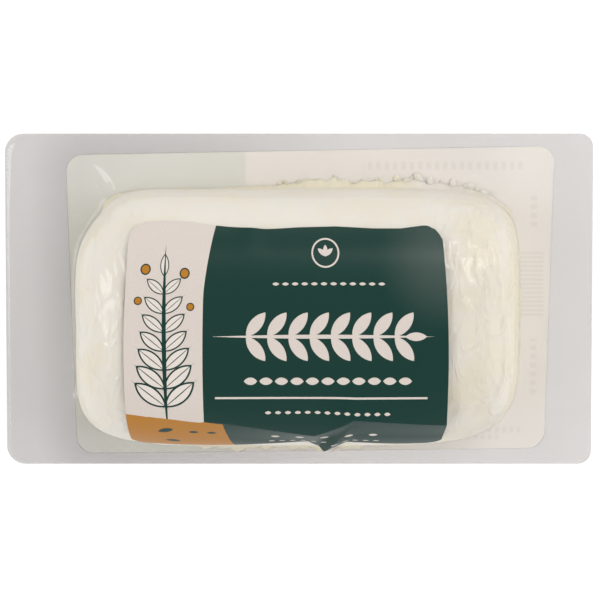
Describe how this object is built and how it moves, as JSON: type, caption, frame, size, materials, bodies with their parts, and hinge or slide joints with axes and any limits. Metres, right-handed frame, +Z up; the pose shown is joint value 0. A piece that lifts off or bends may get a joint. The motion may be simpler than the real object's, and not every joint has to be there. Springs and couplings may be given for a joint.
{
  "type": "vacuum packed goat cheese log",
  "caption": "Soft goat cheese log drawn tight in clear film with a flat sealed rim, a printed label bent over the log and a larger label on the back.",
  "frame": {"origin": "under the middle of the sealed rim, on the plane of the back label's underside", "axes": "+X along the log, +Y across it towards the front label's top edge, +Z up from the back label to the crown"},
  "size_m": [0.1054, 0.06, 0.0357],
  "materials": {
    "film": "clear flexible film, glossy, drawn tight over off-white cheese",
    "cheese": "soft fresh cheese, moist and off-white",
    "front_label": "printed paper with a satin coat",
    "back_label": "printed paper with a satin coat"
  },
  "bodies": {
    "root": {"film_pack": "film", "front_label": "front_label", "back_label": "back_label"}
  },
  "joints": []
}
